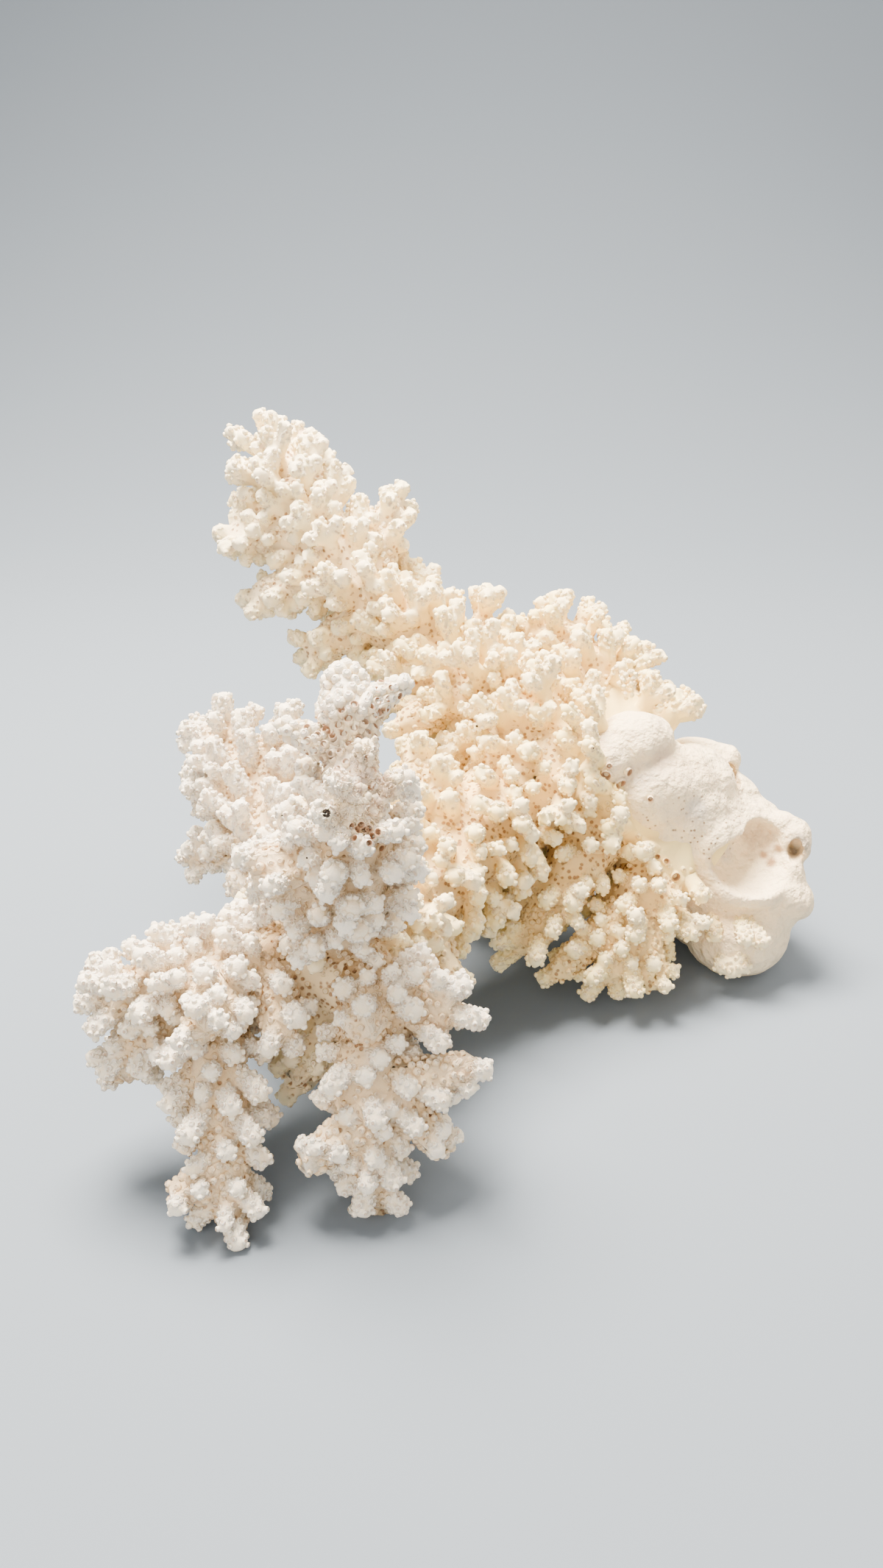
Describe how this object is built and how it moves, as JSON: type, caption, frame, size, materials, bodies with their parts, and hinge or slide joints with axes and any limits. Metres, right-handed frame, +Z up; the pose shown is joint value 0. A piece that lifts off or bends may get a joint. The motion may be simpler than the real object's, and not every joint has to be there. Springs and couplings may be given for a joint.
{
  "type": "staghorn coral",
  "caption": "Bleached dry staghorn coral colony lying on its side, with finger branchlets, knobbly cups and a smooth worn holdfast.",
  "frame": {"origin": "on the table, under the middle of the colony's footprint as it lies", "axes": "+Z up from the table; +X towards the holdfast; -Y towards the front lobes and their two legs"},
  "size_m": [0.2736, 0.2833, 0.2127],
  "materials": {
    "white_skeleton": "matt chalky, whiter tips, tiny pits",
    "cream_skeleton": "matt chalky, white tips over cream and tan skin, tiny pits",
    "worn_skeleton": "matt, worn smooth, faint growth lines"
  },
  "bodies": {
    "root": {"holdfast": "worn_skeleton", "trunk": "cream_skeleton", "crown_lobe": "cream_skeleton", "back_wing": "cream_skeleton", "front_stem": "cream_skeleton", "upper_lobe": "white_skeleton", "rear_left_lobe": "white_skeleton", "left_lobe": "white_skeleton", "left_leg": "white_skeleton", "right_lobe": "white_skeleton", "right_leg": "white_skeleton", "right_fan": "cream_skeleton", "middle_fan": "cream_skeleton", "rear_leg": "cream_skeleton"}
  },
  "joints": []
}
